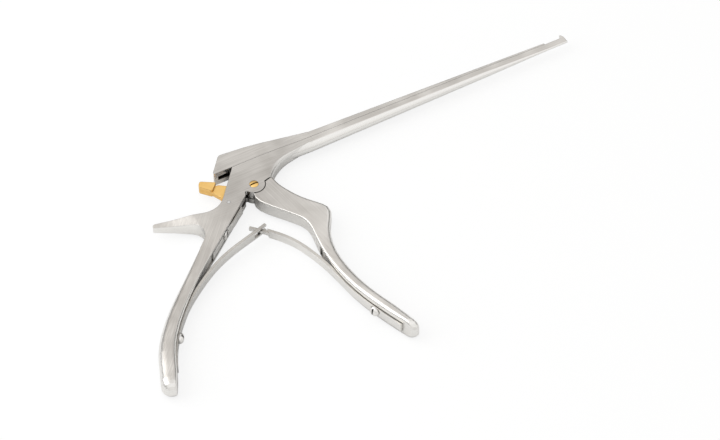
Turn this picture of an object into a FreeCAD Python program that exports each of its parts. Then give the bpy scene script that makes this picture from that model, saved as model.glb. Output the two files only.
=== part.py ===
import FreeCAD, Part
import math
import os
import Sketcher

# A take-apart bone rongeur of the punch kind, lying on its side with its handles open.
# +X runs along the shaft to the footplate, +Y from the handles to the shaft, and +Z is the
# thickness of the instrument. The origin is the axis of the pivot screw, on the lower side face.

os.makedirs("parts", exist_ok=True)
doc = FreeCAD.newDocument("bone_rongeur")

# Driving dimensions, in millimetres and degrees
DIMENSIONS = [
    ("working_length", 180.0, "crotch of the handles to the outside of the footplate"),
    ("crotch_reach", 11.0, "pivot to the crotch, along the shaft"),
    ("seam_height", 15.2, "pivot to the seam between the two shafts"),
    ("body_thickness", 8.6, "forging at the pivot"),
    ("slot_width", 2.6, "saw cut between the two cheeks"),
    ("slot_clearance", 0.1, "each side of what moves in a saw cut"),
    ("slide_gap", 0.05, "running gap along the seam"),
    ("boss_radius", 5.5, "round end of the cheeks"),
    ("boss_gap", 0.35, "between the cheeks and the front handle"),
    ("shaft_root_width", 6.4, "both shafts where they leave the body"),
    ("shaft_mid_width", 3.6, "both shafts where the fine tip begins"),
    ("shaft_tip_width", 1.1, "width of the bite"),
    ("shaft_foot", 24.0, "pivot to the start of the half-round shaft, inside the forging"),
    ("shaft_root", 38.0, "pivot to the start of the plain shaft"),
    ("fine_tip_length", 39.0, "taper from the plain shaft to the bite"),
    ("bite_length", 10.0, "straight part behind the footplate"),
    ("shaft_side", 2.8, "flat side of the lower shaft"),
    ("tip_side", 3.4, "flat side of the lower shaft at the footplate"),
    ("footplate_height", 1.8, "above the seam"),
    ("footplate_thickness", 1.7, "along the shaft"),
    ("mouth_opening", 10.0, "footplate to the cutting edge"),
    ("block_height", 9.8, "upper shaft over the seam at its rear"),
    ("block_shoulder_height", 3.6, "upper shaft over the seam at the shaft root"),
    ("upper_root_round", 0.2, "top edges of the upper shaft at the shaft root"),
    ("upper_mid_round", 1.2, "top edges of the upper shaft where the fine tip begins"),
    ("upper_tip_round", 0.5, "top edges of the upper shaft at the cutting edge"),
    ("upper_mid_height", 1.9, "upper shaft over the seam where the fine tip begins"),
    ("upper_tip_height", 1.2, "upper shaft over the seam at the cutting edge"),
    ("block_overhang", 15.4, "upper shaft behind the pivot"),
    ("block_slot_rear", 12.3, "saw cut in the block behind the pivot"),
    ("block_slot_depth", 5.5, "saw cut in the block"),
    ("key_width", 1.2, "neck of the guide keys"),
    ("key_head_width", 2.0, "head of the guide keys"),
    ("key_neck_depth", 0.7, "under the seam"),
    ("key_depth", 1.4, "under the seam"),
    ("key_length", 8.0, "each guide key"),
    ("key_clearance", 0.08, "around the guide keys"),
    ("driver_rise", 2.8, "driver pin over the seam"),
    ("driver_set_back", 4.0, "driver pin behind the pivot with the jaws open"),
    ("driver_pin_cover", 1.0, "metal over the blind end of the driver pin"),
    ("driver_pin_radius", 1.25, "pin that the fork pushes"),
    ("fork_clearance", 0.15, "around the driver pin in the fork"),
    ("arm_width", 5.2, "driver arm and its fork"),
    ("hub_radius", 5.1, "hub of the front handle"),
    ("screw_radius", 1.7, "shank of the pivot screw"),
    ("screw_head_radius", 2.25, "head of the pivot screw"),
    ("screw_head_seat", 1.3, "counterbore under the head of the pivot screw"),
    ("screw_head_dome", 0.45, "head of the pivot screw above the side face"),
    ("running_clearance", 0.05, "radial, around the screw and the lever pin"),
    ("seat_clearance", 0.02, "radial, around what is pressed or screwed in"),
    ("lever_pin_radius", 0.9, "pin of the release lever"),
    ("pad_width", 4.8, "thumb pad of the release lever"),
    ("leaf_thickness", 1.4, "main leaf springs"),
    ("leaf_width", 5.0, "main leaf springs"),
    ("leaf_gap", 0.35, "between the tongue and the prongs"),
    ("tongue_width", 1.9, "end of the front leaf spring"),
    ("lock_leaf_thickness", 0.7, "spring of the release lever"),
    ("channel_width", 6.0, "groove along the inner side of a handle"),
    ("channel_depth", 0.7, "groove along the inner side of a handle"),
    ("spring_screw_radius", 1.3, "shank of the spring screws"),
    ("spring_screw_head_radius", 2.7, "head of the spring screws"),
    ("spring_screw_head_height", 1.9, "head of the spring screws"),
    ("head_clearance", 0.1, "between the head of a spring screw and its curved leaf"),
    ("lock_screw_head_height", 0.8, "head of the screw of the release lever's spring"),
    ("spring_screw_length", 3.2, "shank of the spring screws under the leaf"),
    ("grip_width", 12.0, "handles at their widest"),
    ("band_round", 2.4, "polished lower front edges of the forging"),
]

# Places that follow from them, worked out in the sheet
DERIVED = [
    ("middle", "=body_thickness / 2", "middle plane of the instrument"),
    ("tip_x", "=crotch_reach + working_length", "outside of the footplate"),
    ("footplate_x", "=tip_x - footplate_thickness", "face of the footplate"),
    ("cutting_edge_x", "=footplate_x - mouth_opening", "cutting edge with the jaws open"),
    ("bite_x", "=footplate_x - bite_length", "start of the straight bite"),
    ("fine_x", "=bite_x - fine_tip_length", "start of the fine tip"),
    ("driver_x", "=-driver_set_back", "driver pin with the jaws open"),
    ("driver_height", "=seam_height + driver_rise", "pivot to the driver pin across the shaft"),
    ("moving_thickness", "=slot_width - 2 * slot_clearance", "what moves in a saw cut"),
    ("slide_seat", "=seam_height + slide_gap", "underside of the upper shaft"),
    ("leaf_top", "=leaf_thickness - channel_depth + seat_clearance", "outside of a main spring over the handle"),
    ("lock_leaf_top", "=lock_leaf_thickness - channel_depth + seat_clearance", "the same for the lever's spring"),
    ("leaf_seat", "=leaf_top + head_clearance", "underside of the screw heads over the handle"),
    ("lock_leaf_seat", "=lock_leaf_top + head_clearance", "the same for the screw of the lever's spring"),
]

sheet = doc.addObject("Spreadsheet::Sheet", "sizes")
for row, (alias, value, note) in enumerate(DIMENSIONS + DERIVED, start=1):
    sheet.set("A%d" % row, alias)
    sheet.set("B%d" % row, str(value))
    sheet.set("C%d" % row, note)
    sheet.setAlias("B%d" % row, alias)
doc.recompute()


def size(alias):
    """A driving dimension, read from the sheet."""
    return float(sheet.get(alias))


seam = size("seam_height")
thick = size("body_thickness")
middle = size("middle")
tip_x = size("tip_x")
footplate_x = size("footplate_x")
root_x = size("shaft_root")
fine_x = size("fine_x")
bite_x = size("bite_x")
driver_x = size("driver_x")
slide_seat = size("slide_seat")
LEVER_PIN = (-16.2, -4.5)

# Spans between two heights, as expressions over the sheet
WHOLE = ("0", "sizes.body_thickness")


def about_middle(width):
    """The span of a width about the middle plane."""
    return ("sizes.middle - (%s) / 2" % width, "sizes.middle + (%s) / 2" % width)


def rounded_path(corners):
    """Closed outline of straight sides, with each (x, y, radius) corner rounded."""
    count = len(corners)
    tangent_points = []
    for i, (x, y, radius) in enumerate(corners):
        here = FreeCAD.Vector(x, y, 0)
        before = FreeCAD.Vector(*corners[i - 1][:2], 0) - here
        after = FreeCAD.Vector(*corners[(i + 1) % count][:2], 0) - here
        if radius == 0:
            tangent_points.append((here, here, here))
            continue
        half_angle = before.getAngle(after) / 2
        before.normalize()
        after.normalize()
        reach = radius / math.tan(half_angle)
        bisector = before + after
        bisector.normalize()
        nearest = here + bisector * (radius / math.sin(half_angle) - radius)
        tangent_points.append((here + before * reach, nearest, here + after * reach))
    edges = []
    for i, (first, nearest, last) in enumerate(tangent_points):
        if first != last:
            edges.append(Part.Arc(first, nearest, last))
        following = tangent_points[(i + 1) % count][0]
        if last.distanceToPoint(following) > 1e-6:
            edges.append(Part.LineSegment(last, following))
    return edges


def smooth_path(points):
    """One smooth curve through a few points."""
    curve = Part.BSplineCurve()
    curve.interpolate([FreeCAD.Vector(x, y, 0) for x, y in points])
    return curve


def circle_path(x, y, radius):
    return [Part.Circle(FreeCAD.Vector(x, y, 0), FreeCAD.Vector(0, 0, 1), radius)]


def new_body(name):
    body = doc.addObject("PartDesign::Body", name)
    body.Label = name
    return body


def placed_sketch(body, name, placement, paths):
    """A sketch attached to the body's side plane, moved and turned by an offset placement."""
    plane = [feature for feature in body.Origin.OriginFeatures if feature.Role == "XY_Plane"][0]
    sketch = body.newObject("Sketcher::SketchObject", name)
    sketch.AttachmentSupport = (plane, [""])
    sketch.MapMode = "FlatFace"
    sketch.AttachmentOffset = placement
    sketch.addGeometry(paths, False)
    return sketch


def sketch_at(body, name, role, height, paths):
    """A sketch on one of the body's origin planes, raised by an expression over the sheet."""
    plane = [feature for feature in body.Origin.OriginFeatures if feature.Role == role][0]
    sketch = body.newObject("Sketcher::SketchObject", name)
    sketch.AttachmentSupport = (plane, [""])
    sketch.MapMode = "FlatFace"
    sketch.setExpression("AttachmentOffset.Base.z", height)
    sketch.addGeometry(paths, False)
    return sketch


def pad_between(body, name, paths, span):
    """Material between two heights, from an outline seen from the side."""
    pad = body.newObject("PartDesign::Pad", name)
    pad.Profile = sketch_at(body, name + "_outline", "XY_Plane", span[0], paths)
    pad.setExpression("Length", "(%s) - (%s)" % (span[1], span[0]))
    doc.recompute()
    return pad


def round_edges(body, name, alias, chosen):
    """Rounds the edges of the body whose middles the test picks out."""
    tip = body.Tip
    edges = []
    for i, edge in enumerate(tip.Shape.Edges, start=1):
        if chosen(edge.valueAt((edge.FirstParameter + edge.LastParameter) / 2)):
            edges.append("Edge%d" % i)
    fillet = body.newObject("PartDesign::Fillet", name)
    fillet.Base = (tip, edges)
    fillet.setExpression("Radius", "sizes." + alias)
    doc.recompute()
    return fillet


def on_side_face(at):
    """Whether a point lies on one of the flat sides of the instrument."""
    return abs(abs(at.z - middle) - middle) < 0.01


def check_cut(body, name, before):
    if body.Shape.Volume > before - 1e-3:
        raise ValueError(name + " cut nothing")


def cut_between(body, name, paths, span, role="XY_Plane"):
    """A cut between two heights over the given plane."""
    before = body.Shape.Volume
    pocket = body.newObject("PartDesign::Pocket", name)
    pocket.Profile = sketch_at(body, name + "_outline", role, span[0], paths)
    pocket.setExpression("Length", "(%s) - (%s)" % (span[1], span[0]))
    pocket.Reversed = True
    doc.recompute()
    check_cut(body, name, before)
    return pocket


def section_sketch(body, name, inner, outer, width, inner_round, outer_round):
    """A cross-section of a handle: a rounded box from its inner to its outer side."""
    start = FreeCAD.Vector(inner[0], inner[1], middle)
    across = FreeCAD.Vector(outer[0] - inner[0], outer[1] - inner[1], 0)
    depth = across.Length
    across.normalize()
    upwards = FreeCAD.Vector(0, 0, 1)
    turn = FreeCAD.Rotation(across, upwards, across.cross(upwards), "XYZ")
    corners = [
        (0, -width / 2, inner_round),
        (depth, -width / 2, outer_round),
        (depth, width / 2, outer_round),
        (0, width / 2, inner_round),
    ]
    return placed_sketch(body, name, FreeCAD.Placement(start, turn), rounded_path(corners))


def loft(body, name, sketches, ruled):
    feature = body.newObject("PartDesign::AdditiveLoft", name)
    feature.Profile = sketches[0]
    feature.Sections = sketches[1:]
    feature.Ruled = ruled
    doc.recompute()
    return feature


def finer_stations(stations):
    """The given stations with one more between each two, on smooth curves through them."""
    run = [0.0]
    for before, after in zip(stations, stations[1:]):
        run.append(run[-1] + math.dist(before[0], after[0]))

    def through(points):
        curve = Part.BSplineCurve()
        curve.interpolate(Points=[FreeCAD.Vector(*point) for point in points], Parameters=run)
        return curve

    inner = through([(*station[0], 0) for station in stations])
    outer = through([(*station[1], 0) for station in stations])
    widths = through([(place, station[2], station[3]) for place, station in zip(run, stations)])
    backs = through([(place, station[4], 0) for place, station in zip(run, stations)])
    finer = []
    for i in range(2 * len(run) - 1):
        where = (run[i // 2] + run[(i + 1) // 2]) / 2
        start = inner.value(where)
        stop = outer.value(where)
        form = widths.value(where)
        finer.append(((start.x, start.y), (stop.x, stop.y), form.y, form.z, backs.value(where).y))
    return finer


def handle_loft(body, name, stations, ahead):
    """A handle through its stations of inner side, outer side, width and the rounding of both sides."""
    sketches = []
    rings = finer_stations(stations)
    rings += end_stations(rings[-1], ahead)
    for i, (inner, outer, width, inner_round, outer_round) in enumerate(rings):
        depth = math.dist(inner, outer)
        front = min(inner_round, 0.3 * width, 0.3 * depth)
        back = min(outer_round, 0.46 * width, 0.6 * depth)
        sketches.append(section_sketch(body, "%s_%d" % (name, i), inner, outer, width, front, back))
    return loft(body, name, sketches, True)


def end_stations(last, ahead):
    """Stations that close a handle with a rounded end, after its last plain station."""
    inner, outer, width, inner_round, outer_round = last
    stations = []
    radius = width / 2
    for part in (0.3, 0.55, 0.76, 0.9, 0.98):
        shrink = 0.5 * part ** 2
        start = (inner[0] + ahead[0] * radius * part, inner[1] + ahead[1] * radius * part)
        stop = (outer[0] + ahead[0] * radius * part, outer[1] + ahead[1] * radius * part)
        stop = (stop[0] + (start[0] - stop[0]) * shrink, stop[1] + (start[1] - stop[1]) * shrink)
        stations.append((start, stop, width * math.sqrt(1 - part ** 2), inner_round, outer_round))
    return stations


def offset_line(points, distance):
    """The same line moved sideways, to its left when the distance is positive."""
    curve = smooth_path(points)
    moved = []
    for x, y in points:
        where = curve.parameter(FreeCAD.Vector(x, y, 0))
        along = curve.tangent(where)[0]
        moved.append((x - along.y * distance, y + along.x * distance))
    return moved


def beside(line, first, last, distance):
    """Points close together, beside a handle's inner line, from one of its points to another."""
    curve = smooth_path(line)
    start = curve.parameter(FreeCAD.Vector(*line[first], 0))
    stop = curve.parameter(FreeCAD.Vector(*line[last], 0))
    count = 4 * abs(last - first)
    points = []
    for i in range(count + 1):
        where = start + (stop - start) * i / count
        at = curve.value(where)
        along = curve.tangent(where)[0]
        points.append((at.x - along.y * distance, at.y + along.x * distance))
    return points


def strip_path(points, left, right):
    """Closed outline of a strip along a line, from its right edge to its left edge."""
    left_edge = smooth_path(offset_line(points, left))
    right_edge = smooth_path(offset_line(points, right))
    return [
        right_edge,
        Part.LineSegment(right_edge.EndPoint, left_edge.EndPoint),
        left_edge,
        Part.LineSegment(left_edge.StartPoint, right_edge.StartPoint),
    ]


def round_hole(body, name, at, radius, span):
    return cut_between(body, name, circle_path(at[0], at[1], radius), span)


# Lines that several pieces share, seen from the side
REAR_INNER_LINE = [(-17.6, -13.0), (-23.2, -17.5), (-30.1, -23.0), (-37.0, -28.6), (-51.0, -40.6), (-64.4, -53.6),
                   (-74.2, -65.6), (-79.3, -74.5), (-82.1, -81.0), (-82.9, -83.2)]
FRONT_INNER_LINE = [(10.3, -50.0), (9.7, -62.0), (10.8, -75.1), (13.7, -87.8), (17.5, -98.9), (20.4, -106.4),
                    (21.5, -110.3), (21.9, -112.0)]
REAR_LEAF_FREE = [(-50.5, -42.2), (-40.0, -35.6), (-29.1, -30.8), (-17.5, -27.4), (-6.3, -24.2)]
FRONT_LEAF_FREE = [(8.1, -60.0), (5.4, -50.2), (0.9, -39.2), (-5.5, -30.1), (-13.6, -21.2)]
LOCK_LEAF_FREE = [(-20.0, -15.35), (-15.6, -12.1), (-11.4, -9.05)]


def shaft_width(x):
    """Width of both shafts, seen from above."""
    stops = [
        (-size("block_overhang"), thick),
        (14.0, thick),
        (root_x, size("shaft_root_width")),
        (fine_x, size("shaft_mid_width")),
        (bite_x, size("shaft_tip_width")),
        (tip_x, size("shaft_tip_width")),
    ]
    for (x0, w0), (x1, w1) in zip(stops, stops[1:]):
        if x <= x1:
            return w0 + (w1 - w0) * (x - x0) / (x1 - x0)
    return stops[-1][1]


def trim_flanks(body, name, start, stop):
    """Takes the body's flanks down to the shafts' width between two places along the shaft."""
    beyond = stop + 6
    for side, sign in (("near", 1), ("far", -1)):
        corners = []
        for x, half in ((start, thick / 2), (stop, shaft_width(stop) / 2), (beyond, shaft_width(stop) / 2),
                        (beyond, thick), (start, thick)):
            corners.append((x, middle + sign * half, 0))
        span = ("-sizes.seam_height - 2 * sizes.block_height", "0")
        cut_between(body, name + "_" + side, rounded_path(corners), span, "XZ_Plane")


def turned(x, y, angle):
    """A point turned about the pivot, in degrees."""
    c = math.cos(math.radians(angle))
    s = math.sin(math.radians(angle))
    return x * c - y * s, x * s + y * c


def boss_corners(first, last):
    """Corners that follow the round end of the cheeks between two directions, with a lead-in at each end."""
    radius = size("boss_radius")
    step = (last - first) / 4
    reach = radius / math.cos(math.radians(step))
    return [
        (*turned(radius, -2.3, first), 0.8),
        (*turned(reach, 0, first + step), radius),
        (*turned(reach, 0, last - step), radius),
        (*turned(radius, 0.4, last), 0.3),
    ]


def screw_plane(at, out, lift):
    """A sketch plane across a spring screw, lifted along the screw from the handle's inner side."""
    normal = FreeCAD.Vector(out[0], out[1], 0)
    normal.normalize()
    upwards = FreeCAD.Vector(0, 0, 1)
    turn = FreeCAD.Rotation(upwards, normal.cross(upwards), normal, "XYZ")
    return FreeCAD.Placement(FreeCAD.Vector(at[0], at[1], middle) + normal * lift, turn)


def drill_screw_hole(body, name, at, out):
    """The hole of a spring screw, through the leaf or into the handle."""
    radius = size("spring_screw_radius") + size("seat_clearance")
    before = body.Shape.Volume
    pocket = body.newObject("PartDesign::Pocket", name)
    pocket.Profile = placed_sketch(body, name + "_outline", screw_plane(at, out, 2), circle_path(0, 0, radius))
    pocket.setExpression("Length", "2 + sizes.spring_screw_length + sizes.channel_depth + sizes.seat_clearance")
    doc.recompute()
    check_cut(body, name, before)


def line_point(line, index, share):
    """A point on a handle's inner line, and the direction to the left of the line there."""
    curve = smooth_path(line)
    first = curve.parameter(FreeCAD.Vector(line[index][0], line[index][1], 0))
    second = curve.parameter(FreeCAD.Vector(line[index + 1][0], line[index + 1][1], 0))
    where = first + (second - first) * share
    at = curve.value(where)
    along = curve.tangent(where)[0]
    return (at.x, at.y), (-along.y, along.x)


rear_screw_at, rear_screw_out = line_point(REAR_INNER_LINE, 5, 0.93)
front_screw_at, front_screw_in = line_point(FRONT_INNER_LINE, 3, 0.65)
front_screw_out = (-front_screw_in[0], -front_screw_in[1])
lock_screw_at, lock_screw_out = line_point(REAR_INNER_LINE, 1, 0.32)


def shaft_section(body, name, where, side):
    """Section of the lower shaft: flat seam and sides, half-round underneath."""
    half = shaft_width(size(where)) / 2
    low = seam - side
    paths = [
        Part.LineSegment(FreeCAD.Vector(seam, middle - half, 0), FreeCAD.Vector(seam, middle + half, 0)),
        Part.LineSegment(FreeCAD.Vector(seam, middle + half, 0), FreeCAD.Vector(low, middle + half, 0)),
        Part.Arc(FreeCAD.Vector(low, middle + half, 0), FreeCAD.Vector(low - half, middle, 0),
                 FreeCAD.Vector(low, middle - half, 0)),
        Part.LineSegment(FreeCAD.Vector(low, middle - half, 0), FreeCAD.Vector(seam, middle - half, 0)),
    ]
    return sketch_at(body, name, "YZ_Plane", "sizes." + where, paths)


# The two T-shaped guide keys under the upper shaft, and how far each reaches
KEY_STARTS = [52.0, 104.0]


def side_box(left, right, low, high):
    return rounded_path([(left, low, 0), (right, low, 0), (right, high, 0), (left, high, 0)])


def cut_key_slot(body, name, start):
    """The T-shaped slot of one guide key, with the window through which the key lifts out."""
    clear = size("key_clearance")
    stop = start + size("key_length") + size("mouth_opening") + 2 * clear
    window = start - size("key_length") - 2 * clear
    floor = seam - size("key_depth") - clear
    ledge = seam - size("key_neck_depth") + clear
    head = about_middle("sizes.key_head_width + 2 * sizes.key_clearance")
    neck = about_middle("sizes.key_width + 2 * sizes.key_clearance")
    cut_between(body, name + "_head", side_box(window, stop, floor, ledge), head)
    cut_between(body, name + "_neck", side_box(window, stop, ledge - 0.1, seam + 1), neck)
    cut_between(body, name + "_window", side_box(window, start - clear, ledge - 0.1, seam + 1), head)


def build_frame():
    body = new_body("frame")
    handle_start = REAR_INNER_LINE[3]
    outline = [
        (root_x + 2, seam, 0),
        (-4.4, seam, 0),
        (-22.5, -6.9, 12.0),
        (-54.6, 2.3, 1.3),
        (-55.5, 0.4, 0.8),
        (-30.4, -12.2, 7.0),
        (-37.2, -19.8, 0),
        (handle_start[0] - 4.6, handle_start[1] + 4.7, 0),
        (handle_start[0], handle_start[1], 0),
        (-7.0, -4.5, 0.5),
    ]
    outline += boss_corners(215, 350)
    outline += [
        (10.9, 1.0, 0),
        (17.2, 7.9, 25.0),
        (root_x + 2, seam - size("shaft_side"), 0),
    ]
    pad_between(body, "body_forging", rounded_path(outline), WHOLE)
    round_edges(body, "front_band", "band_round",
                lambda at: 10.9 < at.x < root_x + 1 and 1 < at.y < seam - 1 and on_side_face(at))
    trim_flanks(body, "shaft_flank", 14.0, root_x)
    for side, sign in (("near", 1), ("far", -1)):
        spur = [(-31.0, middle + sign * (thick / 2 + 0.6), 0), (-36.5, middle + sign * (thick / 2 - 0.15), 12.0),
                (-46.0, middle + sign * 2.6, 14.0), (-57.0, middle + sign * 1.7, 0),
                (-57.0, middle + sign * thick, 0), (-31.0, middle + sign * thick, 0)]
        cut_between(body, "spur_flank_" + side, rounded_path(spur), ("-9", "15"), "XZ_Plane")

    grip = size("grip_width")
    stations = [
        (handle_start, (handle_start[0] - 4.6, handle_start[1] + 4.7), thick, 0.4, 0.5),
        ((-44.4, -34.8), (-49.2, -30.4), 8.7, 0.8, 1.9),
        ((-51.0, -40.6), (-55.8, -36.3), 9.1, 1.1, 2.5),
        ((-64.4, -53.6), (-69.9, -49.2), 10.4, 1.7, 3.4),
        ((-74.2, -65.6), (-80.8, -61.6), 11.5, 2.0, 3.9),
        ((-79.3, -74.5), (-86.8, -71.2), grip, 2.0, 4.2),
        ((-82.6, -82.5), (-90.4, -80.1), grip, 2.0, 4.2),
        ((-85.2, -88.0), (-92.6, -85.6), grip, 2.0, 4.2),
    ]
    handle_loft(body, "rear_handle", stations, (-0.45, -0.89))

    slot = [(-12.0, seam + 1, 0), (9.6, seam + 1, 0), (9.6, seam, 0), (6.4, 2.0, 0), (6.4, -9.0, 0),
            (-17.3, -13.5, 0), (-21.5, -3.0, 0), (-25.0, 3.0, 0)]
    cut_between(body, "cheek_slot", rounded_path(slot), about_middle("sizes.slot_width"))
    channel = strip_path(beside(REAR_INNER_LINE, 0, 9, 0), 2.0, -size("channel_depth"))
    cut_between(body, "spring_channel", channel, about_middle("sizes.channel_width"))

    side = size("shaft_side")
    tip_side = size("tip_side")
    sections = [
        shaft_section(body, "shaft_section_foot", "shaft_foot", 1.6),
        shaft_section(body, "shaft_section_root", "shaft_root", side),
        shaft_section(body, "shaft_section_fine", "fine_x", side),
        shaft_section(body, "shaft_section_bite", "bite_x", tip_side),
        shaft_section(body, "shaft_section_tip", "tip_x", tip_side),
    ]
    loft(body, "lower_shaft", sections, True)
    plate_top = seam + size("footplate_height")
    plate = [(footplate_x, seam - 1, 0), (footplate_x, plate_top, 0.15), (footplate_x + 0.8, plate_top, 0.3),
             (tip_x, seam + 0.2, 0.5), (tip_x, seam - 1, 0)]
    pad_between(body, "footplate", rounded_path(plate), about_middle("sizes.shaft_tip_width"))
    for i, start in enumerate(KEY_STARTS):
        cut_key_slot(body, "key_slot_%d" % i, start)

    seat = size("seat_clearance")
    round_hole(body, "pivot_hole", (0, 0), size("screw_radius") + seat, WHOLE)
    round_hole(body, "pivot_head_seat", (0, 0), size("screw_head_radius") + seat,
               ("sizes.body_thickness - sizes.screw_head_seat", "sizes.body_thickness + 1"))
    round_hole(body, "lever_pin_hole", LEVER_PIN, size("lever_pin_radius") + seat, WHOLE)
    drill_screw_hole(body, "rear_screw_hole", rear_screw_at, rear_screw_out)
    drill_screw_hole(body, "lock_screw_hole", lock_screw_at, lock_screw_out)
    return body


def upper_section(body, name, where, height, top_round):
    """Section of the upper shaft: flat underneath, rounded on top."""
    half = shaft_width(size(where)) / 2
    top = seam + size(height)
    rounding = size(top_round)
    corners = [(slide_seat, middle - half, 0), (top, middle - half, rounding), (top, middle + half, rounding),
               (slide_seat, middle + half, 0)]
    return sketch_at(body, name, "YZ_Plane", "sizes." + where, rounded_path(corners))


def build_upper_shaft():
    body = new_body("upper_shaft")
    rear = -size("block_overhang")
    top = seam + size("block_height")
    outline = [
        (root_x + 2, slide_seat, 0),
        (rear, slide_seat, 0.8),
        (rear + 8.2, top + 0.4, 3.0),
        (7.0, top - 1.0, 40.0),
        (root_x + 2, seam + size("block_shoulder_height"), 0),
    ]
    pad_between(body, "block", rounded_path(outline), WHOLE)
    trim_flanks(body, "block_flank", 14.0, root_x)
    sections = [
        upper_section(body, "upper_section_root", "shaft_root", "block_shoulder_height", "upper_root_round"),
        upper_section(body, "upper_section_fine", "fine_x", "upper_mid_height", "upper_mid_round"),
        upper_section(body, "upper_section_edge", "cutting_edge_x", "upper_tip_height", "upper_tip_round"),
    ]
    loft(body, "upper_run", sections, True)
    slot_rear = -size("block_slot_rear")
    slot_top = seam + size("block_slot_depth")
    slot = [(slot_rear, slide_seat - 1, 0), (slot_rear, slot_top - 1.5, 1.4), (slot_rear + 3.5, slot_top, 1.0),
            (driver_x + 4.9, slot_top, 1.0), (driver_x + 4.9, slide_seat - 1, 0)]
    cut_between(body, "block_slot", rounded_path(slot), about_middle("sizes.slot_width"))
    round_hole(body, "driver_pin_hole", (driver_x, size("driver_height")),
               size("driver_pin_radius") + size("seat_clearance"),
               ("0", "sizes.body_thickness - sizes.driver_pin_cover + sizes.seat_clearance"))
    ledge = seam - size("key_neck_depth")
    for i, start in enumerate(KEY_STARTS):
        stop = start + size("key_length")
        pad_between(body, "key_neck_%d" % i, side_box(start, stop, ledge, seam + 0.6), about_middle("sizes.key_width"))
        pad_between(body, "key_head_%d" % i, side_box(start, stop, seam - size("key_depth"), ledge),
                    about_middle("sizes.key_head_width"))
    return body


def arm_point(across, outwards):
    """A point of the driver arm, across it and outwards from the pivot, with the jaws open."""
    reach = math.hypot(driver_x, size("driver_height"))
    ux, uy = driver_x / reach, size("driver_height") / reach
    return across * uy + outwards * ux, -across * ux + outwards * uy


def build_front_handle():
    body = new_body("front_handle")
    grip = size("grip_width")
    stations = [
        ((-1.2, -3.0), (10.3, 0.2), 8.2, 0.5, 1.0),
        ((-3.3, -7.7), (11.1, -5.0), 8.2, 0.5, 1.2),
        ((-0.8, -13.9), (13.2, -10.2), 8.2, 0.6, 1.6),
        ((4.4, -21.0), (17.4, -17.8), 8.1, 0.6, 2.0),
        ((9.0, -27.3), (23.1, -24.9), 8.0, 0.6, 2.4),
        ((11.0, -30.5), (26.0, -29.4), 8.0, 0.6, 2.6),
        ((12.1, -35.5), (24.5, -35.3), 8.0, 0.7, 2.6),
        ((11.5, -41.5), (20.5, -41.7), 8.1, 0.8, 2.6),
        ((10.3, -50.0), (17.1, -50.6), 8.5, 1.0, 2.6),
        ((9.7, -62.0), (15.8, -62.2), 9.6, 1.4, 2.8),
        ((10.8, -75.1), (17.1, -76.1), 10.9, 1.8, 3.2),
        ((13.7, -87.8), (20.3, -89.0), 11.8, 2.0, 3.6),
        ((17.5, -98.9), (24.3, -100.0), grip, 2.0, 3.8),
        ((20.4, -106.4), (26.8, -108.0), grip, 2.0, 3.8),
        ((22.3, -110.6), (27.9, -112.3), grip, 2.0, 3.6),
    ]
    handle_loft(body, "front_grip", stations, (0.30, -0.954))
    round_hole(body, "boss_seat", (0, 0), size("boss_radius") + size("boss_gap"), ("-2", "sizes.body_thickness + 2"))
    channel = strip_path(beside(FRONT_INNER_LINE, 0, 7, 0), size("channel_depth"), -2.0)
    cut_between(body, "spring_channel", channel, about_middle("sizes.channel_width"))

    web_span = about_middle("sizes.moving_thickness")
    half_arm = size("arm_width") / 2
    reach = math.hypot(driver_x, size("driver_height"))
    arm = [(arm_point(-4.2, 2.0), 0), (arm_point(-half_arm, 12.5), 8.0), (arm_point(-half_arm, reach + 1.6), 0.8),
           (arm_point(half_arm, reach + 1.6), 0.8), (arm_point(half_arm, 12.5), 8.0), (arm_point(4.2, 2.0), 0)]
    pad_between(body, "driver_arm", rounded_path([(x, y, rounding) for (x, y), rounding in arm]), web_span)
    pad_between(body, "hub", circle_path(0, 0, size("hub_radius")), web_span)
    web = [(-3.8, -1.5, 0), (4.6, -1.0, 0), (9.0, -5.5, 0), (4.0, -12.0, 0), (-1.0, -9.5, 0)]
    pad_between(body, "hub_web", rounded_path(web), web_span)
    heel = [(-3.5, 4.2, 0), (-5.6, 3.8, 0.5), (-6.7, 1.05, 0.2), (-3.5, 1.0, 0)]
    pad_between(body, "stop_heel", rounded_path(heel), web_span)
    half_fork = size("driver_pin_radius") + size("fork_clearance")
    fork = [arm_point(-half_fork, reach - 2.4), arm_point(half_fork, reach - 2.4), arm_point(half_fork, reach + 3),
            arm_point(-half_fork, reach + 3)]
    cut_between(body, "fork", rounded_path([(x, y, 0) for x, y in fork]), WHOLE)
    round_hole(body, "hub_bore", (0, 0), size("screw_radius") + size("running_clearance"), WHOLE)
    drill_screw_hole(body, "front_screw_hole", front_screw_at, front_screw_out)
    return body


def build_pin(name, at, radius, span):
    """A plain pin across the instrument."""
    body = new_body(name)
    pad_between(body, name + "_rod", circle_path(at[0], at[1], radius), span)
    return body


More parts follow.
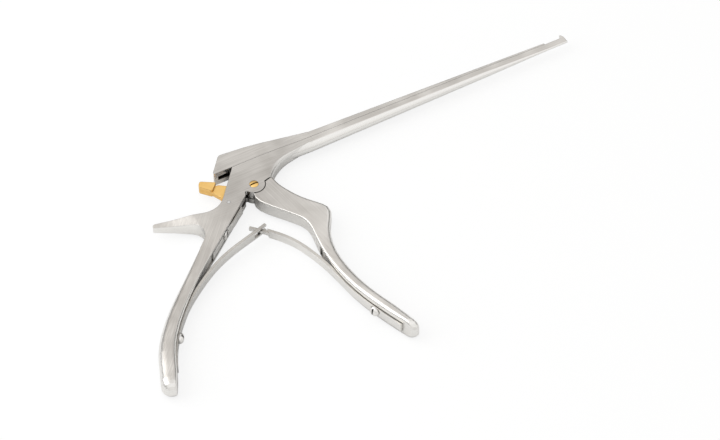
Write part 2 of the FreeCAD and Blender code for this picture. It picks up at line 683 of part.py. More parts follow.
def build_pivot_screw():
    body = new_body("pivot_screw")
    head_low = thick - size("screw_head_seat")
    dome = size("screw_head_dome")
    rim = size("screw_head_radius")
    pad_between(body, "shank", circle_path(0, 0, size("screw_radius")),
                ("0", "sizes.body_thickness - sizes.screw_head_seat"))
    profile = [
        Part.LineSegment(FreeCAD.Vector(0, head_low, 0), FreeCAD.Vector(rim, head_low, 0)),
        Part.LineSegment(FreeCAD.Vector(rim, head_low, 0), FreeCAD.Vector(rim, thick, 0)),
        Part.Arc(FreeCAD.Vector(rim, thick, 0), FreeCAD.Vector(rim * 0.6, thick + dome * 0.64, 0),
                 FreeCAD.Vector(0, thick + dome, 0)),
        Part.LineSegment(FreeCAD.Vector(0, thick + dome, 0), FreeCAD.Vector(0, head_low, 0)),
    ]
    sketch = sketch_at(body, "head_outline", "XZ_Plane", "0", profile)
    head = body.newObject("PartDesign::Revolution", "head")
    head.Profile = sketch
    head.ReferenceAxis = (sketch, ["V_Axis"])
    head.Angle = 360
    doc.recompute()
    slot = side_box(-3, 3, -0.35, 0.35)
    cut_between(body, "driver_slot", slot, ("sizes.body_thickness - sizes.screw_head_dome", "sizes.body_thickness + 1"))
    return body


def build_spring_screw(name, at, out, seat, height):
    """A slotted screw with a bevelled head, which holds the foot of a leaf spring."""
    body = new_body(name)
    shank = body.newObject("PartDesign::Pad", name + "_shank")
    shank_low = -size("channel_depth") - size("spring_screw_length")
    shank.Profile = placed_sketch(body, name + "_shank_outline", screw_plane(at, out, shank_low),
                                  circle_path(0, 0, size("spring_screw_radius")))
    shank.setExpression("Length", "sizes.channel_depth + sizes.spring_screw_length + sizes." + seat)
    doc.recompute()
    head_radius = size("spring_screw_head_radius")
    head = body.newObject("PartDesign::Pad", name + "_head")
    head.Profile = placed_sketch(body, name + "_head_outline", screw_plane(at, out, size(seat)),
                                 circle_path(0, 0, head_radius))
    head.setExpression("Length", "sizes." + height)
    doc.recompute()
    crown_at = screw_plane(at, out, size(seat) + size(height)).Base
    for i, edge in enumerate(head.Shape.Edges, start=1):
        if edge.Closed and edge.CenterOfMass.distanceToPoint(crown_at) < 0.01:
            crown = body.newObject("PartDesign::Chamfer", name + "_crown")
            crown.Base = (head, ["Edge%d" % i])
            crown.setExpression("Size", "0.5 * sizes." + height)
    doc.recompute()
    slot = body.newObject("PartDesign::Pocket", name + "_slot")
    slot.Profile = placed_sketch(body, name + "_slot_outline", screw_plane(at, out, size(seat) + size(height) + 1),
                                 side_box(-head_radius - 1, head_radius + 1, -0.4, 0.4))
    slot.setExpression("Length", "1 + 0.4 * sizes." + height)
    doc.recompute()
    return body


def build_leaf(name, line, thickness):
    """A flat spring along a line, as wide as the main leaf springs."""
    body = new_body(name)
    pad_between(body, name + "_strip", strip_path(line, thickness / 2, -thickness / 2),
                about_middle("sizes.leaf_width"))
    return body


def build_rear_leaf():
    thickness = size("leaf_thickness")
    foot = beside(REAR_INNER_LINE, 8, 5, size("leaf_top") - thickness / 2)
    body = build_leaf("rear_leaf_spring", foot + REAR_LEAF_FREE, thickness)
    prong_gap = side_box(-13.6, -2.0, -33.0, -18.0)
    cut_between(body, "prong_gap", prong_gap, about_middle("sizes.tongue_width + 2 * sizes.leaf_gap"))
    drill_screw_hole(body, "rear_leaf_hole", rear_screw_at, rear_screw_out)


def build_front_leaf():
    thickness = size("leaf_thickness")
    foot = beside(FRONT_INNER_LINE, 6, 2, thickness / 2 - size("leaf_top"))
    body = build_leaf("front_leaf_spring", foot + FRONT_LEAF_FREE, thickness)
    shoulder = side_box(-16.5, -6.9, -33.0, -16.0)
    low, high = about_middle("sizes.tongue_width")
    cut_between(body, "tongue_near", shoulder, (high, "sizes.body_thickness"))
    cut_between(body, "tongue_far", shoulder, ("0", low))
    drill_screw_hole(body, "front_leaf_hole", front_screw_at, front_screw_out)


def build_lock_spring():
    thickness = size("lock_leaf_thickness")
    foot = beside(REAR_INNER_LINE, 3, 1, size("lock_leaf_top") - thickness / 2)
    body = build_leaf("lock_spring", foot + LOCK_LEAF_FREE, thickness)
    drill_screw_hole(body, "lock_leaf_hole", lock_screw_at, lock_screw_out)


def build_release_lever():
    body = new_body("release_lever")
    plate = [
        (-18.0, 11.0, 0),
        (-14.6, 10.2, 0.8),
        (-11.0, 7.4, 1.5),
        (-8.4, 2.6, 1.0),
        (-6.3, 0.8, 0.2),
        (-6.3, -0.6, 0.3),
        (-9.3, -3.2, 1.0),
        (-11.2, -5.4, 1.0),
        (-12.3, -8.75, 0.5),
        (-16.6, -8.0, 1.6),
        (-18.9, -4.5, 2.0),
        (-17.1, 2.0, 3.0),
        (-20.3, 8.6, 0),
    ]
    pad_between(body, "lever_plate", rounded_path(plate), about_middle("sizes.moving_thickness"))
    thumb = [
        (-15.4, 11.6, 0.4),
        (-22.4, 16.0, 1.2),
        (-24.4, 13.2, 1.5),
        (-19.4, 7.6, 0.8),
    ]
    pad_between(body, "thumb_pad", rounded_path(thumb), about_middle("sizes.pad_width"))
    round_hole(body, "lever_bore", LEVER_PIN, size("lever_pin_radius") + size("running_clearance"), WHOLE)


build_frame()
build_upper_shaft()
build_front_handle()
build_release_lever()
build_pivot_screw()
build_pin("driver_pin", (driver_x, size("driver_height")), size("driver_pin_radius"),
          ("0", "sizes.body_thickness - sizes.driver_pin_cover"))
build_pin("lever_pin", LEVER_PIN, size("lever_pin_radius"), WHOLE)
build_rear_leaf()
build_front_leaf()
build_lock_spring()
build_spring_screw("rear_spring_screw", rear_screw_at, rear_screw_out, "leaf_seat", "spring_screw_head_height")
build_spring_screw("front_spring_screw", front_screw_at, front_screw_out, "leaf_seat", "spring_screw_head_height")
build_spring_screw("lock_spring_screw", lock_screw_at, lock_screw_out, "lock_leaf_seat", "lock_screw_head_height")

doc.recompute()
for item in doc.Objects:
    if "Invalid" in item.State or "Error" in item.State:
        raise ValueError("%s is not sound: %s" % (item.Label, item.State))
for item in doc.Objects:
    if item.TypeId != "PartDesign::Body":
        continue
    if item.Shape.isNull() or not item.Shape.isValid() or len(item.Shape.Solids) != 1:
        raise ValueError(item.Label + " is not one sound solid")
    item.Shape.exportStep("parts/%s.step" % item.Label)
    print("%-20s %9.1f mm3" % (item.Label, item.Shape.Volume))
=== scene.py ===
# %% [markdown]
# A bone rongeur is a hand-held bone punch. A fixed lower shaft ends in a small upturned plate, and a second
# shaft slides along it when the handles are squeezed, so that its sharp end bites against the plate.
# The metal parts come ready shaped from the imported model. This lesson gives them their finishes, remakes
# the three springs as copies of their own, rounds the heads of their screws, and sets up a plain studio.

import math

import bpy
from mathutils import Matrix, Vector


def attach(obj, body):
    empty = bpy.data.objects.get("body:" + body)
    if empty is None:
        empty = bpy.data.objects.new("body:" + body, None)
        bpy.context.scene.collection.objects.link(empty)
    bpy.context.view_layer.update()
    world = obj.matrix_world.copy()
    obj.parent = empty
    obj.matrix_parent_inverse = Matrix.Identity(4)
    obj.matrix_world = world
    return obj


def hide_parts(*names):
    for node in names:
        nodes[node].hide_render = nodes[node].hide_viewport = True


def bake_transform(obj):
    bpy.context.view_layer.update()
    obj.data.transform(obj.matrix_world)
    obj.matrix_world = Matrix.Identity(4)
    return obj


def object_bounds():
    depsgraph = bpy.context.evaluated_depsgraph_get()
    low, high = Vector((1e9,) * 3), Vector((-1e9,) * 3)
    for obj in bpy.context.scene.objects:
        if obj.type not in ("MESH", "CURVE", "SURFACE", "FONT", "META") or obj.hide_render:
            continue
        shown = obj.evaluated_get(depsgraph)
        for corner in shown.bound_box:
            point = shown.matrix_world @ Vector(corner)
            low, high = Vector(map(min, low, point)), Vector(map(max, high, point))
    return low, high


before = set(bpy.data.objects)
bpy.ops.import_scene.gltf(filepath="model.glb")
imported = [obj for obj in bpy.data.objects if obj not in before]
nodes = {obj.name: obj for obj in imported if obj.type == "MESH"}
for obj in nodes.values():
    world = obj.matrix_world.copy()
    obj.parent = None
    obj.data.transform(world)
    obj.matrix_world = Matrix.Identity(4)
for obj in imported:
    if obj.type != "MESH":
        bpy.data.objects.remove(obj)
cad_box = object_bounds()
MM = 0.001
MID_HEIGHT = 4.3 * MM
print("CAD box, mm:", [[round(v / MM, 2) for v in corner] for corner in cad_box])

# %% [markdown]
# The instrument lies on its side on a white sheet and is seen from its lower right, at about 50 degrees
# above the sheet, through a long lens. The camera comes first, because every finish is judged through it.
# Its place is written in metres, and its aim is a point near the middle of the instrument.

# %% Camera
CAMERA_PLACE = Vector((-0.3060, -0.6613, 0.8469))
CAMERA_TARGET = Vector((0.03639, -0.04267, 0.00425))
CAMERA_LENS_MM = 112


def make_camera(place, target, lens):
    """A level camera at a place, aimed at a target."""
    data = bpy.data.cameras.new("camera")
    data.lens = lens
    data.clip_start = 0.01
    camera = bpy.data.objects.new("camera", data)
    camera.location = place
    camera.rotation_euler = (target - place).to_track_quat("-Z", "Y").to_euler()
    bpy.context.scene.collection.objects.link(camera)
    bpy.context.scene.camera = camera
    return camera


make_camera(CAMERA_PLACE, CAMERA_TARGET, CAMERA_LENS_MM)
print("camera distance, m:", round((CAMERA_TARGET - CAMERA_PLACE).length, 3))

# %% [markdown]
# Materials here are networks of nodes. One small function adds a node with its settings and its links, so
# that each finish below reads as a recipe. Colours are picked as they look on a screen, and a second
# function turns those hex values into the linear light that the renderer works in.

# %% Helpers for node networks


def linear(hex_colour):
    """A screen colour such as '#c8c4be' as linear red, green, blue and alpha."""
    channels = [int(hex_colour[i:i + 2], 16) / 255 for i in (1, 3, 5)]
    return [c / 12.92 if c <= 0.04045 else ((c + 0.055) / 1.055) ** 2.4 for c in channels] + [1.0]


def add(tree, kind, inputs=None, **settings):
    """Adds a node, sets its properties, and sets or links its inputs. Returns the node."""
    node = tree.nodes.new(kind)
    for name, value in settings.items():
        setattr(node, name, value)
    for name, value in (inputs or {}).items():
        if isinstance(value, bpy.types.NodeSocket):
            tree.links.new(value, node.inputs[name])
        else:
            node.inputs[name].default_value = value
    return node


def new_material(name):
    """An empty node material and its tree."""
    material = bpy.data.materials.new(name)
    material.use_nodes = True
    material.node_tree.nodes.clear()
    return material, material.node_tree


# %% [markdown]
# The studio is a white sheet on a table under a wide white ceiling, with one large soft lamp high on the
# left. Polished steel shows what stands around it, and white on every side would leave it without any form.
# So the room's far wall is dark near the table and turns light about 20 degrees up, which gives rounded
# backs a dark band, while what faces the near side stays bright. The walls are drawn by height and direction
# in the sky, fixed in the room.

# %% Sky
SKY_FILL = 0.62
ROOM_GLOW = 1.03
FAR_WALL = [(0.0, "#2b2a29"), (0.16, "#454341"), (0.38, "#c6c4c1"), (0.55, "#f3f2f0"), (1.0, "#ffffff")]
NEAR_WALL = [(0.0, "#c9c8c6"), (0.2, "#eeedeb"), (1.0, "#ffffff")]
NEAR_SIDE_STARTS = -0.05
NEAR_SIDE_FULL = -0.45


def stepped_ramp(tree, factor, stops):
    """A colour ramp through several places and colours."""
    node = add(tree, "ShaderNodeValToRGB", {"Fac": factor})
    elements = node.color_ramp.elements
    for place, colour in stops[1:-1]:
        elements.new(place)
    for element, (place, colour) in zip(elements, stops):
        element.position = place
        element.color = linear(colour)
    return node.outputs["Color"]


def make_sky():
    """White to the camera, a soft fill for matt surfaces, and a room with dark walls for reflections."""
    world = bpy.data.worlds.new("studio_sky")
    bpy.context.scene.world = world
    world.use_nodes = True
    tree = world.node_tree
    tree.nodes.clear()
    direction = add(tree, "ShaderNodeTexCoord").outputs["Generated"]
    axes = add(tree, "ShaderNodeSeparateXYZ", {"Vector": direction}).outputs
    near = add(tree, "ShaderNodeMapRange",
               {"Value": axes["Y"], "From Min": NEAR_SIDE_STARTS, "From Max": NEAR_SIDE_FULL},
               interpolation_type="SMOOTHSTEP").outputs["Result"]
    room = add(tree, "ShaderNodeMix", {"Factor": near, "A": stepped_ramp(tree, axes["Z"], FAR_WALL),
                                       "B": stepped_ramp(tree, axes["Z"], NEAR_WALL)}, data_type="RGBA")
    path = add(tree, "ShaderNodeLightPath").outputs
    mirrored = add(tree, "ShaderNodeMath", {0: path["Is Glossy Ray"], 1: path["Is Transmission Ray"]},
                   operation="MAXIMUM")
    fill = add(tree, "ShaderNodeBackground", {"Color": linear("#ffffff"), "Strength": SKY_FILL})
    reflection = add(tree, "ShaderNodeBackground", {"Color": room.outputs["Result"], "Strength": ROOM_GLOW})
    backdrop = add(tree, "ShaderNodeBackground", {"Color": linear("#ffffff"), "Strength": 1.0})
    lit = add(tree, "ShaderNodeMixShader",
              {0: mirrored.outputs[0], 1: fill.outputs[0], 2: reflection.outputs[0]})
    shown = add(tree, "ShaderNodeMixShader",
                {0: path["Is Camera Ray"], 1: lit.outputs[0], 2: backdrop.outputs[0]})
    add(tree, "ShaderNodeOutputWorld", {"Surface": shown.outputs[0]})


make_sky()

# %% Lamp
LAMP_PLACE = Vector((-0.85, 0.40, 0.80))
LAMP_SIZE = 1.4
LAMP_POWER = 9.0


def make_lamp(name, place, target, size, power):
    """A square soft lamp aimed at a target."""
    data = bpy.data.lights.new(name, "AREA")
    data.size = size
    data.energy = power
    lamp = bpy.data.objects.new(name, data)
    lamp.location = place
    lamp.rotation_euler = (target - place).to_track_quat("-Z", "Y").to_euler()
    bpy.context.scene.collection.objects.link(lamp)
    return lamp


make_lamp("softbox", LAMP_PLACE, CAMERA_TARGET, LAMP_SIZE, LAMP_POWER)
print("lamp at, m:", [round(v, 2) for v in LAMP_PLACE])

# %% [markdown]
# The sheet under the instrument touches its lowest points, which are the flared ends of the handles. It is a
# plain plane, and its colour, not more light, makes it white. A little glow for the camera alone lifts
# it to a clean white while the soft shadow of the metal stays.

# %% Sheet under the instrument
SHEET_HALF = 4.0
PAPER_WHITE = "#fbfbfa"
PAPER_GLOW = 1.05
GLOW_SHARE = 0.78


def sheet_material():
    """White paper, with a share of glow that only the camera sees."""
    material, tree = new_material("white_paper")
    paper = add(tree, "ShaderNodeBsdfDiffuse", {"Color": linear(PAPER_WHITE)})
    glow = add(tree, "ShaderNodeEmission", {"Color": linear("#ffffff"), "Strength": PAPER_GLOW})
    path = add(tree, "ShaderNodeLightPath").outputs
    share = add(tree, "ShaderNodeMath", {0: path["Is Camera Ray"], 1: GLOW_SHARE}, operation="MULTIPLY")
    mixed = add(tree, "ShaderNodeMixShader", {0: share.outputs[0], 1: paper.outputs[0], 2: glow.outputs[0]})
    add(tree, "ShaderNodeOutputMaterial", {"Surface": mixed.outputs[0]})
    return material


bpy.ops.object.select_all(action="DESELECT")
bpy.ops.mesh.primitive_plane_add(size=2 * SHEET_HALF, location=(0, 0, cad_box[0].z))
sheet = bpy.context.active_object
sheet.name = "sheet"
bpy.ops.object.transform_apply(location=True, rotation=True, scale=True)
sheet.data.materials.append(sheet_material())
print("sheet height, mm:", round(cad_box[0].z / MM, 2))

# %% [markdown]
# Surgical instruments are forged from martensitic stainless steel. Their flat sides are brushed to a satin
# so that they don't dazzle the surgeon, and their rounded edges and handle backs are polished. Both finishes
# are one alloy, so one recipe makes them, and a mask by the direction a face points in tells satin from
# polish. The brushed grain runs along each part. Real grain is too fine to show at this distance, so it is
# drawn 0.35 mm apart.

# %% Steel
STEEL_SATIN = "#e6e2dd"
STEEL_POLISHED = "#f1efec"
STEEL_DARK = "#8f8982"
GRAIN_SPACING_MM = 0.35
GRAIN_STRETCH = 60
EDGE_RADIUS_MM = 0.3
CREVICE_REACH_MM = 5.0
CLOUD_SIZE_MM = 16
BODY_MIDDLE = (4 * MM, 0, MID_HEIGHT)
# painted shade: the colour of the broad body around the pivot is multiplied by this
BODY_PAINTED_SHADE = 0.86
# painted shade: the darkest share of colour left deep in a slot or crevice
CREVICE_PAINTED_SHADE = 0.06
# painted reflection: how dark the line along steel edges is drawn
EDGE_PAINTED_SHADE = 0.55
GRAIN_SHARE = 0.32
CLOUD_SHARE = 0.34
SHAFT_POLISH = 0.25
BUMP_STRENGTH = 0.25
BUMP_DEPTH_MM = 0.03


def grain_pattern(tree, turn_degrees):
    """Fine streaks along a direction in the plane of the instrument, from 0 to 1."""
    place = add(tree, "ShaderNodeTexCoord").outputs["Object"]
    fine = 1 / (GRAIN_SPACING_MM * MM)
    turned = add(tree, "ShaderNodeMapping",
                 {"Vector": place, "Rotation": (0, 0, -math.radians(turn_degrees))}, vector_type="POINT")
    streaks = add(tree, "ShaderNodeMapping",
                  {"Vector": turned.outputs[0], "Scale": (fine / GRAIN_STRETCH, fine, fine)},
                  vector_type="POINT")
    return add(tree, "ShaderNodeTexNoise", {"Vector": streaks.outputs[0], "Scale": 1.0, "Detail": 3.0,
                                            "Roughness": 0.6}).outputs["Fac"]


def ramp(tree, value, low, high, start, end):
    """A value rescaled from one range to another, and held at its ends."""
    return add(tree, "ShaderNodeMapRange", {"Value": value, "From Min": low, "From Max": high,
                                            "To Min": start, "To Max": end}).outputs["Result"]


def blend_colour(tree, factor, first, second):
    """A colour between two others."""
    mix = add(tree, "ShaderNodeMix", {"Factor": factor, "A": first, "B": second}, data_type="RGBA")
    return mix.outputs["Result"]


def along_axis(tree, axis):
    """How far a place lies along a direction from the pivot, in metres."""
    place = add(tree, "ShaderNodeTexCoord").outputs["Object"]
    return add(tree, "ShaderNodeVectorMath", {0: place, 1: axis}, operation="DOT_PRODUCT").outputs["Value"]


def down_the_handle(tree):
    """0 on the body and the shaft, 1 beyond the crook, where the rear handle runs down."""
    return ramp(tree, along_axis(tree, (-0.66, -0.75, 0)), 12 * MM, 32 * MM, 0.0, 1.0)


def on_shaft(tree):
    """0 on the body and the handles, 1 out on the shaft."""
    return ramp(tree, along_axis(tree, (1, 0, 0)), 12 * MM, 24 * MM, 0.0, 1.0)


def near_pivot(tree):
    """1 on the broad body around the pivot screw, 0 out on the handles and the shaft."""
    place = add(tree, "ShaderNodeTexCoord").outputs["Object"]
    away = add(tree, "ShaderNodeVectorMath", {0: place, 1: BODY_MIDDLE}, operation="DISTANCE")
    return ramp(tree, away.outputs["Value"], 16 * MM, 42 * MM, 1.0, 0.0)


def flat_side_mask(tree):
    """1 on the flat sides, which face straight up or down, and 0 on edges and rounded backs."""
    normal = add(tree, "ShaderNodeNewGeometry").outputs["Normal"]
    upright = add(tree, "ShaderNodeSeparateXYZ", {"Vector": normal}).outputs["Z"]
    steep = add(tree, "ShaderNodeMath", {0: upright}, operation="ABSOLUTE").outputs[0]
    wide = ramp(tree, steep, 0.80, 0.94, 0.0, 1.0)
    crisp = ramp(tree, steep, 0.975, 0.998, 0.0, 1.0)
    mask = add(tree, "ShaderNodeMix", {"Factor": on_shaft(tree), "A": wide, "B": crisp}, data_type="FLOAT")
    return mask.outputs["Result"]


def painted_crevice_shade(tree):
    """Painted shade from how open a place is, from nearly 0 deep in a slot to 1 on a free face."""
    occlusion = add(tree, "ShaderNodeAmbientOcclusion", {"Distance": CREVICE_REACH_MM * MM}, samples=8)
    return ramp(tree, occlusion.outputs["AO"], 0.15, 0.72, CREVICE_PAINTED_SHADE, 1.0)


def painted_edge_line(tree, soft_edge, darkest):
    """1 on faces and a painted dark reflection along edges, where the softened normal leaves the true one.
    """
    true = add(tree, "ShaderNodeNewGeometry").outputs["Normal"]
    agreement = add(tree, "ShaderNodeVectorMath", {0: true, 1: soft_edge}, operation="DOT_PRODUCT")
    return ramp(tree, agreement.outputs["Value"], 0.80, 0.97, darkest, 1.0)


def darkened(tree, colour, shade):
    """A colour times a shade from 0 to 1."""
    scaled = add(tree, "ShaderNodeVectorMath", {0: colour, "Scale": shade}, operation="SCALE")
    return scaled.outputs["Vector"]


def steel(name, grain_turn, satin=STEEL_SATIN, polished=STEEL_POLISHED, satin_rough=0.38,
          polished_rough=0.27, end_turn=None):
    """Stainless steel: satin with grain on the flat sides, polished on everything else. The grain can turn
    to a second direction along the handle. Painted shade darkens the body around the pivot and the
    crevices, and a painted dark reflection lines the edges."""
    material, tree = new_material(name)
    grain = grain_pattern(tree, grain_turn)
    if end_turn is not None:
        turned = add(tree, "ShaderNodeMix", {"Factor": down_the_handle(tree), "A": grain,
                                             "B": grain_pattern(tree, end_turn)}, data_type="FLOAT")
        grain = turned.outputs["Result"]
    flat = flat_side_mask(tree)
    place = add(tree, "ShaderNodeTexCoord").outputs["Object"]
    clouds = add(tree, "ShaderNodeTexNoise",
                 {"Vector": place, "Scale": 1 / (CLOUD_SIZE_MM * MM), "Detail": 1.5}).outputs["Fac"]
    brushed = blend_colour(tree, ramp(tree, grain, 0.35, 0.65, 0.0, 1.0), linear(STEEL_DARK), linear(satin))
    brushed = blend_colour(tree, GRAIN_SHARE, linear(satin), brushed)
    shaft_share = ramp(tree, on_shaft(tree), 0.0, 1.0, 0.0, SHAFT_POLISH)
    brushed = blend_colour(tree, shaft_share, brushed, linear(polished))
    cloud_share = ramp(tree, clouds, 0.35, 0.65, CLOUD_SHARE, 0.0)
    brushed = blend_colour(tree, cloud_share, brushed, linear(STEEL_DARK))
    colour = blend_colour(tree, flat, linear(polished), brushed)
    satin_roughness = ramp(tree, grain, 0.3, 0.7, satin_rough - 0.06, satin_rough + 0.06)
    rough = add(tree, "ShaderNodeMix", {"Factor": flat, "A": polished_rough, "B": satin_roughness},
                data_type="FLOAT")
    soft_edge = add(tree, "ShaderNodeBevel", {"Radius": EDGE_RADIUS_MM * MM}, samples=4)
    height = add(tree, "ShaderNodeMath", {0: grain, 1: flat}, operation="MULTIPLY").outputs[0]
    bump = add(tree, "ShaderNodeBump", {"Height": height, "Strength": BUMP_STRENGTH,
                                        "Distance": BUMP_DEPTH_MM * MM, "Normal": soft_edge.outputs[0]})
    # Painted shade: the broad body around the pivot is drawn darker than the handles and the shaft.
    body_painted_shade = ramp(tree, near_pivot(tree), 0.0, 1.0, 1.0, BODY_PAINTED_SHADE)
    colour = darkened(tree, colour, body_painted_shade)
    # Painted shade: colour is darkened in slots, crevices and under neighbouring parts.
    colour = darkened(tree, colour, painted_crevice_shade(tree))
    # Painted reflection: a dark line along edges stands in for the dark wall they reflect.
    colour = darkened(tree, colour, painted_edge_line(tree, soft_edge.outputs[0], EDGE_PAINTED_SHADE))
    shader = add(tree, "ShaderNodeBsdfPrincipled",
                 {"Base Color": colour, "Metallic": 1.0, "Roughness": rough.outputs[0],
                  "Normal": bump.outputs[0]})
    add(tree, "ShaderNodeOutputMaterial", {"Surface": shader.outputs[0]})
    return material


def dress(node, material):
    """Puts one material on all of a CAD node."""
    target = nodes[node]
    target.data.materials.clear()
    target.data.materials.append(material)


SHAFT_TURN = 0
REAR_HANDLE_TURN = 48
FRONT_HANDLE_TURN = -80
dress("frame", steel("satin_steel_shaft", SHAFT_TURN, end_turn=REAR_HANDLE_TURN))
dress("upper_shaft", steel("satin_steel_slide", SHAFT_TURN))
dress("front_handle", steel("satin_steel_front_handle", FRONT_HANDLE_TURN))
bright = steel("turned_steel", SHAFT_TURN, satin="#ffffff", satin_rough=0.22, polished_rough=0.14)
for pin in ("lever_pin", "driver_pin"):
    dress(pin, bright)

# %% [markdown]
# The release lever and the pivot screw are gold in colour and stand out from the plain steel. They are taken
# to be gold-plated. Plating is a very thin skin of metal over polished steel: its colour is the gold's, and
# its gloss is a little soft.

# %% Gold plate
GOLD = "#f6cd83"
GOLD_DEEP = "#e8b565"
GOLD_CLOUD_MM = 3
# painted reflection: how dark the line along gold edges is drawn
GOLD_EDGE_PAINTED_SHADE = 0.25


def gold_plate():
    """Gold plating with a faint unevenness in colour and gloss, painted shade in crevices and a painted
    dark reflection along edges.
    """
    material, tree = new_material("gold_plate")
    place = add(tree, "ShaderNodeTexCoord").outputs["Object"]
    clouds = add(tree, "ShaderNodeTexNoise",
                 {"Vector": place, "Scale": 1 / (GOLD_CLOUD_MM * MM), "Detail": 3.0}).outputs["Fac"]
    colour = blend_colour(tree, ramp(tree, clouds, 0.35, 0.75, 0.0, 0.5), linear(GOLD), linear(GOLD_DEEP))
    # Painted shade: colour is darkened in slots, crevices and under neighbouring parts.
    colour = darkened(tree, colour, painted_crevice_shade(tree))
    rough = ramp(tree, clouds, 0.3, 0.7, 0.30, 0.40)
    soft_edge = add(tree, "ShaderNodeBevel", {"Radius": EDGE_RADIUS_MM * MM}, samples=6)
    # Painted reflection: a dark line along edges stands in for the dark wall they reflect.
    colour = darkened(tree, colour, painted_edge_line(tree, soft_edge.outputs[0], GOLD_EDGE_PAINTED_SHADE))
    shader = add(tree, "ShaderNodeBsdfPrincipled",
                 {"Base Color": colour, "Metallic": 1.0, "Roughness": rough, "Normal": soft_edge.outputs[0]})
    add(tree, "ShaderNodeOutputMaterial", {"Surface": shader.outputs[0]})
    return material


gold = gold_plate()
dress("release_lever", gold)
dress("pivot_screw", gold)

# %% [markdown]
# Each leaf is held by a slotted screw with a low domed head, turned from bar on a lathe and slotted with a
# saw. The CAD screws have a bevelled head, so these are remade: a cylinder whose top edge is rounded over,
# whose shank is drawn out of its underside, and whose slot is cut across the dome. Each sits where its CAD
# screw sits. The faces under the head and at the shank's end point the same way, and together they are
# larger than those of any other direction, so their normal and their middle give the screw's axis.

# %% Domed screws
HEAD_RADIUS = 2.7 * MM
SHANK_RADIUS = 1.3 * MM
SHANK_LENGTH = 4.0 * MM
SLOT_WIDTH = 0.8 * MM
SCREW_SIDES = 48
DOME_SHARE = 0.92
DOME_STEPS = 8


def chosen_faces(piece, test):
    """Leaves only the faces that pass a test selected, and opens the piece for editing."""
    bpy.ops.object.select_all(action="DESELECT")
    piece.select_set(True)
    bpy.context.view_layer.objects.active = piece
    bpy.ops.object.mode_set(mode="EDIT")
    bpy.ops.mesh.select_all(action="DESELECT")
    bpy.ops.mesh.select_mode(type="FACE")
    bpy.ops.object.mode_set(mode="OBJECT")
    for face in piece.data.polygons:
        face.select = test(face)
    bpy.ops.object.mode_set(mode="EDIT")


def domed_screw(name, node, foot, out, height):
    """A screw whose head sits at a foot point on its leaf and faces outwards."""
    bpy.ops.object.select_all(action="DESELECT")
    bpy.ops.mesh.primitive_cylinder_add(vertices=SCREW_SIDES, radius=HEAD_RADIUS, depth=height,
                                        location=(0, 0, height / 2))
    screw = bpy.context.active_object
    screw.name = name
    bpy.ops.object.transform_apply(location=True, rotation=True, scale=True)
    chosen_faces(screw, lambda face: face.normal.z < -0.9)
    bpy.ops.mesh.inset(thickness=HEAD_RADIUS - SHANK_RADIUS)
    bpy.ops.mesh.extrude_region_move(TRANSFORM_OT_translate={"value": (0, 0, -SHANK_LENGTH)})
    bpy.ops.object.mode_set(mode="OBJECT")
    chosen_faces(screw, lambda face: face.normal.z > 0.9 and face.center.z > 0.9 * height)
    bpy.ops.mesh.bevel(offset=DOME_SHARE * height, segments=DOME_STEPS, affect="EDGES")
    bpy.ops.object.mode_set(mode="OBJECT")
    bpy.ops.object.select_all(action="DESELECT")
    bpy.ops.mesh.primitive_cube_add(size=1, location=(0, 0, height))
    saw = bpy.context.active_object
    saw.scale = (3 * HEAD_RADIUS, SLOT_WIDTH, height)
    cut = screw.modifiers.new("slot", "BOOLEAN")
    cut.operation = "DIFFERENCE"
    cut.object = saw
    bpy.context.view_layer.objects.active = screw
    bpy.ops.object.modifier_apply(modifier="slot")
    bpy.data.objects.remove(saw)
    across = Vector((0, 0, 1))
    turn = Matrix((across, out.cross(across), out)).transposed()
    screw.matrix_world = Matrix.Translation(foot) @ turn.to_4x4()
    bpy.ops.object.select_all(action="DESELECT")
    screw.select_set(True)
    bpy.context.view_layer.objects.active = screw
    bpy.ops.object.transform_apply(location=True, rotation=True, scale=True)
    bpy.ops.object.shade_smooth_by_angle(angle=math.radians(40))
    screw.data.materials.append(bright)
    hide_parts(node)
    print(name, "faces:", len(screw.data.polygons))
    return screw


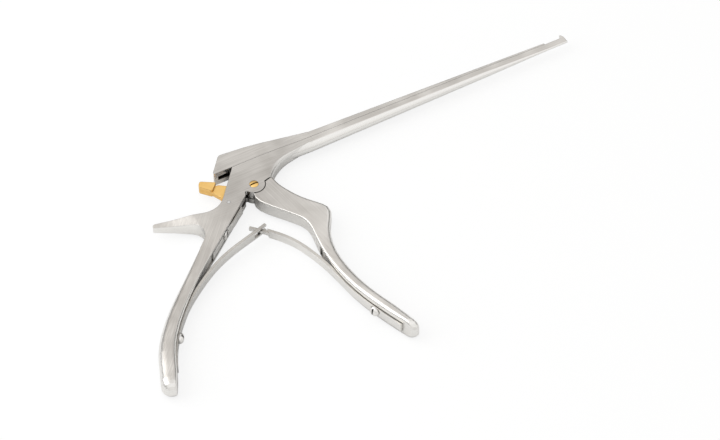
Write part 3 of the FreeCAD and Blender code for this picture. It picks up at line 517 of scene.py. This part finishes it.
def screw_seat(node):
    """The middle of the underside of a CAD screw's head, and the way the head faces."""
    faces = nodes[node].data.polygons
    areas = {}
    for face in faces:
        direction = tuple(round(v, 2) for v in face.normal)
        areas[direction] = areas.get(direction, 0.0) + face.area
    inwards = Vector(max(areas, key=areas.get)).normalized()
    flat = [face for face in faces if face.normal.dot(inwards) > 0.999]
    out = -sum((face.normal * face.area for face in flat), Vector()).normalized()
    middle = sum((face.center * face.area for face in flat), Vector()) / sum(face.area for face in flat)
    under_head = max(face.center.dot(out) for face in flat)
    return middle + out * (under_head - middle.dot(out)), out


SCREWS = [
    ("rear_screw", "rear_spring_screw", "frame_body", 1.9),
    ("front_screw", "front_spring_screw", "handle_body", 1.9),
    ("lock_screw", "lock_spring_screw", "frame_body", 0.8),
]
for name, node, body, head_height in SCREWS:
    foot, out = screw_seat(node)
    print(name, "foot, mm:", [round(v / MM, 3) for v in foot], "faces:", [round(v, 4) for v in out])
    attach(domed_screw(name, node, foot, out, head_height * MM), body)

# %% [markdown]
# The leaf springs are strips of spring steel, screwed to the handles at one end. At the other, the tongue of
# the front one lies between the prongs of the rear one. They bend when the handles close. Here each is
# remade as a copy of its CAD solid, a piece of its own. The tips meet half-way between the handles.

# %% Leaf springs, remade as copies
spring_finish = steel("spring_steel", FRONT_HANDLE_TURN, satin="#dad6d0",
                      satin_rough=0.3, polished_rough=0.2)


def bending_copy(node, name):
    """A copy of a CAD node as a piece of its own, with its doubled points merged."""
    source = nodes[node]
    mesh = source.data.copy()
    piece = bpy.data.objects.new(name, mesh)
    bpy.context.scene.collection.objects.link(piece)
    bpy.ops.object.select_all(action="DESELECT")
    piece.select_set(True)
    bpy.context.view_layer.objects.active = piece
    bpy.ops.mesh.customdata_custom_splitnormals_clear()
    bpy.ops.object.mode_set(mode="EDIT")
    bpy.ops.mesh.select_all(action="SELECT")
    bpy.ops.mesh.remove_doubles(threshold=0.001 * MM)
    bpy.ops.object.mode_set(mode="OBJECT")
    bpy.ops.object.shade_smooth_by_angle(angle=math.radians(30))
    mesh.materials.clear()
    mesh.materials.append(spring_finish)
    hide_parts(node)
    print(name, "faces:", len(mesh.polygons))
    return piece


rear_leaf = bending_copy("rear_leaf_spring", "rear_leaf")
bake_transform(rear_leaf)
front_leaf = bending_copy("front_leaf_spring", "front_leaf")
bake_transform(front_leaf)
lock_leaf = bending_copy("lock_spring", "lock_leaf")
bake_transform(lock_leaf)

# %% View transform
bpy.context.scene.view_settings.view_transform = "Standard"
